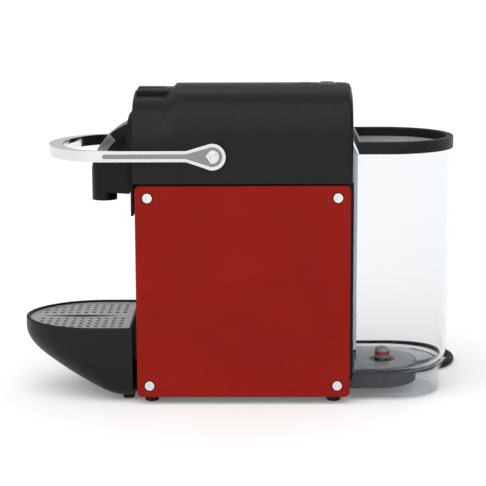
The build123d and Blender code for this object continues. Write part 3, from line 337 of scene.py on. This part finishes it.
def rings_to_faces(ring_count, size, closed_rings=False, caps=True):
    """Quads between rings of the same size, with a face at each end."""
    faces = []
    for ring in range(ring_count if closed_rings else ring_count - 1):
        after = (ring + 1) % ring_count
        for k in range(size):
            step = (k + 1) % size
            faces.append((ring * size + k, ring * size + step, after * size + step, after * size + k))
    if caps and not closed_rings:
        faces.append(tuple(reversed(range(size))))
        faces.append(tuple(range((ring_count - 1) * size, ring_count * size)))
    return faces


def ease(t):
    """0 to 1 with level ends."""
    t = max(0.0, min(1.0, t))
    return t * t * (3 - 2 * t)


# ---------------------------------------------------------------- mains cord
CORD_D, CORD_LENGTH = 0.006, 0.898
LAY = 0.00305
LEAD = [
    (-0.0422, 0.0802, 0.0116), (-0.0422, 0.0940, 0.0116), (-0.0424, 0.1090, 0.0060),
    (-0.0426, 0.1255, LAY), (-0.0440, 0.1445, LAY), (-0.0530, 0.1615, LAY), (-0.0695, 0.1720, LAY),
    (-0.0890, 0.1730, LAY), (-0.1065, 0.1640, LAY), (-0.1170, 0.1475, LAY), (-0.1195, 0.1260, LAY),
    (-0.1185, 0.0980, LAY), (-0.1215, 0.0710, LAY), (-0.1290, 0.0450, LAY), (-0.1345, 0.0200, LAY),
]
TAIL = [(-0.0636, 0.0065, 0.0094), (-0.0634, 0.0170, 0.0094), (-0.0652, 0.0290, 0.0082),
        (-0.0695, 0.0400, 0.0074)]
COIL_AT = Vector((-0.098, -0.005, 0))
COIL_OUTER, COIL_INNER, COIL_TOP_R = 0.0374, 0.0311, 0.0343
COIL_TURNS, COIL_POINTS = 2.5, 16   # points to a turn


def coil_points():
    """Two turns side by side on the surface, and the last half turn in the groove on top of them."""
    step = 360 / COIL_POINTS
    out = 1 / math.cos(math.radians(step / 2))
    points = []
    for k in range(int(COIL_TURNS * COIL_POINTS) + 1):
        turned = k * step
        inward = ease((turned - 250) / 100)
        climb = ease((turned - 545) / 75)
        settle = ease((turned - 710) / 60)
        radius = COIL_OUTER + (COIL_INNER - COIL_OUTER) * inward
        radius += (COIL_TOP_R - COIL_INNER) * ease((turned - 560) / 130)
        height = LAY + 0.0063 * climb - 0.0010 * settle
        way = math.radians(180 + turned)
        points.append((COIL_AT.x + radius * out * math.cos(way),
                       COIL_AT.y + radius * out * math.sin(way), height))
    return points


def smooth_line(points, resolution=6):
    """Points along a smooth curve that runs through between control points."""
    curve = bpy.data.curves.new("route", "CURVE")
    curve.dimensions = "3D"
    spline = curve.splines.new("NURBS")
    spline.points.add(len(points) - 1)
    for place, point in zip(spline.points, points):
        place.co = (*point, 1)
    spline.order_u = 3
    spline.use_endpoint_u = True
    spline.resolution_u = resolution
    route = bpy.data.objects.new("route", curve)
    mesh = bpy.data.meshes.new_from_object(route)
    line = [v.co.copy() for v in mesh.vertices]
    bpy.data.meshes.remove(mesh)
    bpy.data.objects.remove(route)
    bpy.data.curves.remove(curve)
    return line


def tube_along(points, radii, size=20):
    """Points and faces of a closed round tube with a radius at each point."""
    verts = []
    side = Vector((1, 0, 0))
    for k, point in enumerate(points):
        way = (points[min(k + 1, len(points) - 1)] - points[max(k - 1, 0)]).normalized()
        side = (side - way * side.dot(way)).normalized()
        up = way.cross(side)
        for n in range(size):
            turn = 2 * math.pi * n / size
            verts.append(point + (side * math.cos(turn) + up * math.sin(turn)) * radii[k])
    return verts, rings_to_faces(len(points), size)


def along(points, start, end, steps):
    """Evenly spaced points of a line, from start to end metres along it."""
    reach, placed = 0.0, []
    marks = [start + (end - start) * k / (steps - 1) for k in range(steps)]
    for a, b in zip(points, points[1:]):
        run = (b - a).length
        while marks and marks[0] <= reach + run + 1e-9:
            placed.append(a.lerp(b, (marks.pop(0) - reach) / run))
        reach += run
    return placed


def make_cord():
    """The mains lead in one piece, its strain relief and its plug."""
    line = smooth_line(LEAD + coil_points() + TAIL)
    cord = mesh_piece("mains_lead", "cord_black", "casing",
                      *tube_along(line, [CORD_D / 2] * len(line), 16), 50)
    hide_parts("mains_cord", "cord_coil")
    ribs = 8
    steps = 6 * ribs + 1
    sleeve = along(line, 0.0055, 0.0285, steps)
    radii = [(0.0041 - 0.0009 * k / (steps - 1)) - 0.00035 * (k % 6 in (3, 4)) for k in range(steps)]
    relief = mesh_piece("strain_relief", "plug_black", "casing", *tube_along(sleeve, radii))
    plug = make_plug()
    length = sum((b - a).length for a, b in zip(line, line[1:]))
    print("cord length", round(length, 4))


def make_plug():
    """A slim two-pin plug with a waist for the fingers."""
    start, before = Vector(TAIL[-1]), Vector(TAIL[-2])
    way = (start - before)
    way.z = 0
    way.normalize()
    across = Vector((-way.y, way.x, 0))
    stations = [(0, 3.6, 3.6), (3, 4.4, 4.2), (7, 6.0, 4.9), (12, 8.6, 5.6), (16, 9.2, 5.4),
                (20, 9.4, 5.3), (24, 11.0, 6.1), (28, 12.0, 6.7), (29.6, 11.8, 6.5), (30, 11.2, 5.9)]
    size, power = 32, 2.0 / 3.2
    verts = []
    for reach, half, high in stations:
        for k in range(size):
            turn = 2 * math.pi * k / size
            c, s = math.cos(turn), math.sin(turn)
            u = math.copysign(abs(c) ** power, c) * half * MM
            v = math.copysign(abs(s) ** power, s) * high * MM
            verts.append(start + way * reach * MM + across * u + Vector((0, 0, v)))
    faces = rings_to_faces(len(stations), size)
    plug = mesh_piece("plug_body", "plug_black", "casing", verts, faces, 50)
    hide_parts("mains_plug")
    pins, pin_faces = [], []
    for side in (-1, 1):
        ring_stations = [(29.0, 1.0), (44.2, 1.0), (45.6, 0.8), (46.0, 0.55)]
        base = len(pins)
        for reach, share in ring_stations:
            for u, v in ((-0.8, -3.2), (0.8, -3.2), (0.8, 3.2), (-0.8, 3.2)):
                pins.append(start + way * reach * MM + across * (side * 6.35 + u * share) * MM
                            + Vector((0, 0, v * share * MM)))
        pin_faces += [tuple(i + base for i in f) for f in rings_to_faces(len(ring_stations), 4)]
    blades = mesh_piece("plug_pins", "steel", "casing", pins, pin_faces, 30)
    blades.parent = plug
    return plug


# ---------------------------------------------------------------- drip tray
TRAY_STATIONS = (
    # height, half width, tip, where the sides begin to curve
    (4.6, 39.5, -98.6, -86.0), (8.0, 44.0, -108.6, -90.0), (15.0, 47.3, -123.2, -94.0),
    (25.0, 48.9, -140.2, -98.0), (36.0, 49.7, -155.0, -101.0), (46.0, 50.2, -161.7, -103.0),
    (58.2, 50.5, -162.5, -104.0),
)
TRAY_BACK, TRAY_WALL = -78.0, 2.2


def tray_section(z):
    """Half width, tip and start of the curve at a height, smooth between the stations."""
    rows = TRAY_STATIONS
    k = max(i for i in range(len(rows) - 1) if rows[i][0] <= z or i == 0)
    lower, upper = rows[k], rows[k + 1]
    span = upper[0] - lower[0]
    t = (z - lower[0]) / span
    made = []
    for n in (1, 2, 3):
        rise = upper[n] - lower[n]
        before, after = rows[max(k - 1, 0)], rows[min(k + 2, len(rows) - 1)]
        into = (upper[n] - before[n]) / (upper[0] - before[0]) * span if k else rise
        out = (after[n] - lower[n]) / (after[0] - lower[0]) * span if after is not upper else rise
        made.append(lower[n] + into * (t - 2 * t**2 + t**3) + rise * (3 * t**2 - 2 * t**3)
                    + out * (t**3 - t**2))
    return made


def tray_ring(half, tip, straight, back, z):
    """Points round the tray's U at a height, in metres."""
    ring = [(half, back + (straight - back) * k / 6) for k in range(6)]
    for k in range(61):
        turn = math.pi * k / 60
        ring.append((half * math.cos(turn), straight + (tip - straight) * math.sin(turn)))
    ring += [(-half, straight + (back - straight) * k / 6) for k in range(1, 7)]
    ring += [(-half + 2 * half * k / 10, back) for k in range(1, 10)]
    return [Vector((x * MM, y * MM, z * MM)) for x, y in ring]


def box_shell(verts, faces, low, high):
    """Adds a closed box to lists of points and faces."""
    base = len(verts)
    for z in (low[2], high[2]):
        for x, y in ((low[0], low[1]), (high[0], low[1]), (high[0], high[1]), (low[0], high[1])):
            verts.append(Vector((x, y, z)) * MM)
    for f in ((0, 3, 2, 1), (4, 5, 6, 7), (0, 1, 5, 4), (1, 2, 6, 5), (2, 3, 7, 6), (3, 0, 4, 7)):
        faces.append(tuple(base + i for i in f))


def make_tray():
    """A boat-shaped tray with a rounded rim, and the runner plate that carries the capsule bin."""
    rings = []
    steps = 44
    for k in range(steps + 1):
        z = 4.6 + (57.7 - 4.6) * k / steps
        half, tip, straight = tray_section(z)
        tuck = 0.9 * (1 - min(1, (z - 4.6) / 1.2)) ** 2
        rings.append(tray_ring(half - tuck, tip + tuck, straight, TRAY_BACK - tuck * 0.3, z))
    half, tip, straight = tray_section(58.2)
    for inset, z in ((0.25, 58.05), (0.7, 58.2), (1.7, 58.2), (2.15, 58.0)):
        rings.append(tray_ring(half - inset, tip + inset * 1.3, straight, TRAY_BACK - inset, z))
    for k in range(31):
        z = 57.6 - (57.6 - 8.8) * k / 30
        half, tip, straight = tray_section(z)
        wall = TRAY_WALL + (1.4 if z < 12 else 0)
        rings.append(tray_ring(half - wall, tip + TRAY_WALL * 1.35 + (58.2 - z) * 0.05, straight,
                               TRAY_BACK - TRAY_WALL, z))
    verts = [point for ring in rings for point in ring]
    faces = rings_to_faces(len(rings), len(rings[0]))
    box_shell(verts, faces, (-44, -79.0, 8.7), (44, -5.0, 10.5))
    box_shell(verts, faces, (-44, -7.4, 10.4), (44, -5.0, 14.5))
    tray = mesh_piece("drip_tray_shell", "tray_black", "drawer", verts, faces, 40)
    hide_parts("drip_tray")


# ---------------------------------------------------------------- lever's grooves and panel screws
PIVOT_Y, PIVOT_Z = -17.4, 186.4     # the lever's axis
GROOVE_Y = (-97.0, -36.4)           # where a groove's straight part begins and ends
GROOVE_X = (54.42, 54.56)           # the groove floor's plate, out from the middle
WELL_R, EYE_GROOVE_R = 4.9, 7.2
SCREW_AT = ((-65.3, 14.6), (74.1, 14.6), (-65.3, 155.7), (74.1, 155.7))


def make_grooves():
    """The satin floor of the groove in each arm of the lever, round the screw in its eye."""
    mid, half = 186.8, 1.65
    start, run = GROOVE_Y[0], GROOVE_Y[1] - GROOVE_Y[0]
    low, high = GROOVE_X
    outline = [(start + run * k / 12, mid - half) for k in range(13)]
    outline += [(PIVOT_Y + EYE_GROOVE_R * math.cos(t), PIVOT_Z + EYE_GROOVE_R * math.sin(t))
                for t in (math.radians(-108 + 6 * k) for k in range(37))]
    outline += [(GROOVE_Y[1] - run * k / 12, mid + half) for k in range(13)]
    outline += [(start - half * math.sin(t), mid + half * math.cos(t))
                for t in (math.radians(22.5 * k) for k in range(1, 8))]
    for side, name in ((-1, "groove_left"), (1, "groove_right")):
        verts = []
        for y, z in outline:
            away = math.hypot(y - PIVOT_Y, z - PIVOT_Z)
            near = (PIVOT_Y + (y - PIVOT_Y) * WELL_R / away, PIVOT_Z + (z - PIVOT_Z) * WELL_R / away)
            verts += [Vector((side * x, *p)) * MM for p, x in (
                (near, low), ((y, z), low), ((y, z), high), (near, high))]
        mesh_piece(name, "trim_silver", "lever", verts,
                   rings_to_faces(len(outline), 4, closed_rings=True), 30)


def make_painted_screw_shades():
    """Black rings in the gap round each panel screw's head: painted shade where the recess falls dark.
    """
    count = 40
    for side, end in ((-1, "left"), (1, "right")):
        for n, (y, z) in enumerate(SCREW_AT):
            verts = []
            for k in range(count):
                turn = 2 * math.pi * k / count
                for radius, x in ((3.56, 50.55), (4.15, 50.55), (4.15, 51.86), (3.56, 51.5)):
                    verts.append(Vector((side * x, y + radius * math.cos(turn),
                                         z + radius * math.sin(turn))) * MM)
            # black rings: painted shade in the gap round each screw head
            mesh_piece(f"painted_screw_shade_{end}_{n}", "inner_black", "casing", verts,
                       rings_to_faces(count, 4, closed_rings=True), 30)


# ---------------------------------------------------------------- marks and the painted light on the arm's top
ROOF_Z, CROWN_R = 235.2, 110.0      # top of the roof, and the radius that it's crowned to
MARK_T = 0.12                       # thickness of a printed mark
BREW_BUTTON_Y = 67.4


def on_crown(x, y, rise):
    """A point on the crowned roof in metres, this far above it."""
    return Vector((x, y, ROOF_Z - (CROWN_R - math.sqrt(CROWN_R**2 - x * x)) + rise)) * MM


def crown_mark(name, slot, body, inner, outer, rise):
    """A thin printed band between two lines of the same count on the roof."""
    verts = []
    for a, b in zip(inner, outer):
        verts += [on_crown(*p, height) for p, height in (
            (a, rise - MARK_T), (b, rise - MARK_T), (b, rise), (a, rise))]
    mesh_piece(name, slot, body, verts, rings_to_faces(len(inner), 4, closed_rings=True), 30)


def circle(radius, y, count=48):
    """Points of a circle about x = 0 on the roof."""
    return [(radius * math.cos(2 * math.pi * k / count), y + radius * math.sin(2 * math.pi * k / count))
            for k in range(count)]


def make_marks():
    """A plain ring round the brew button and a plain cup outline on the cup button."""
    crown_mark("brew_ring", "light_lens", "casing", circle(6.1, BREW_BUTTON_Y),
               circle(6.6, BREW_BUTTON_Y), 0.06)
    cup = [(-1.9, 52.3), (-1.5, 49.8), (1.5, 49.8), (1.9, 52.3)]
    inside = [(-1.35, 51.9), (-1.1, 50.2), (1.1, 50.2), (1.35, 51.9)]
    crown_mark("cup_outline", "light_lens", "cup_button", inside, cup, 0.36)


def make_painted_light_plate():
    """A pale plate on the dark base arm's top, with a hole for the tank's valve: painted light that
    makes the arm's top read bright under the tank.
    """
    flat, half, tip, hole, at = 84.5, 33.6, 136.2, 10.2, 110.9
    count = 72
    edge, rim = [], []
    for k in range(count):
        way = Vector((math.cos(2 * math.pi * k / count), math.sin(2 * math.pi * k / count)))
        reach = 60.0
        while not (flat <= at + way.y * reach and abs(way.x * reach) <= half and (
                at + way.y * reach <= tip - half
                or (way.x * reach) ** 2 + (at + way.y * reach - tip + half) ** 2 <= half**2)):
            reach -= 0.1
        edge.append((way.x * reach, at + way.y * reach))
        rim.append((way.x * hole, at + way.y * hole))
    verts = []
    for a, b in zip(rim, edge):
        verts += [Vector((*p, z)) * MM for p, z in ((a, 21.02), (b, 21.02), (b, 21.3), (a, 21.3))]
    # pale plate: painted light on the dark arm's top under the tank
    mesh_piece("painted_light_plate", "light_lens", "casing", verts,
               rings_to_faces(count, 4, closed_rings=True), 30)


# ---------------------------------------------------------------- build
make_camera()
make_floor()
make_light()
dress_frame()
make_cord()
make_tray()
make_grooves()
make_painted_screw_shades()
make_marks()
make_painted_light_plate()

bpy.context.view_layer.update()
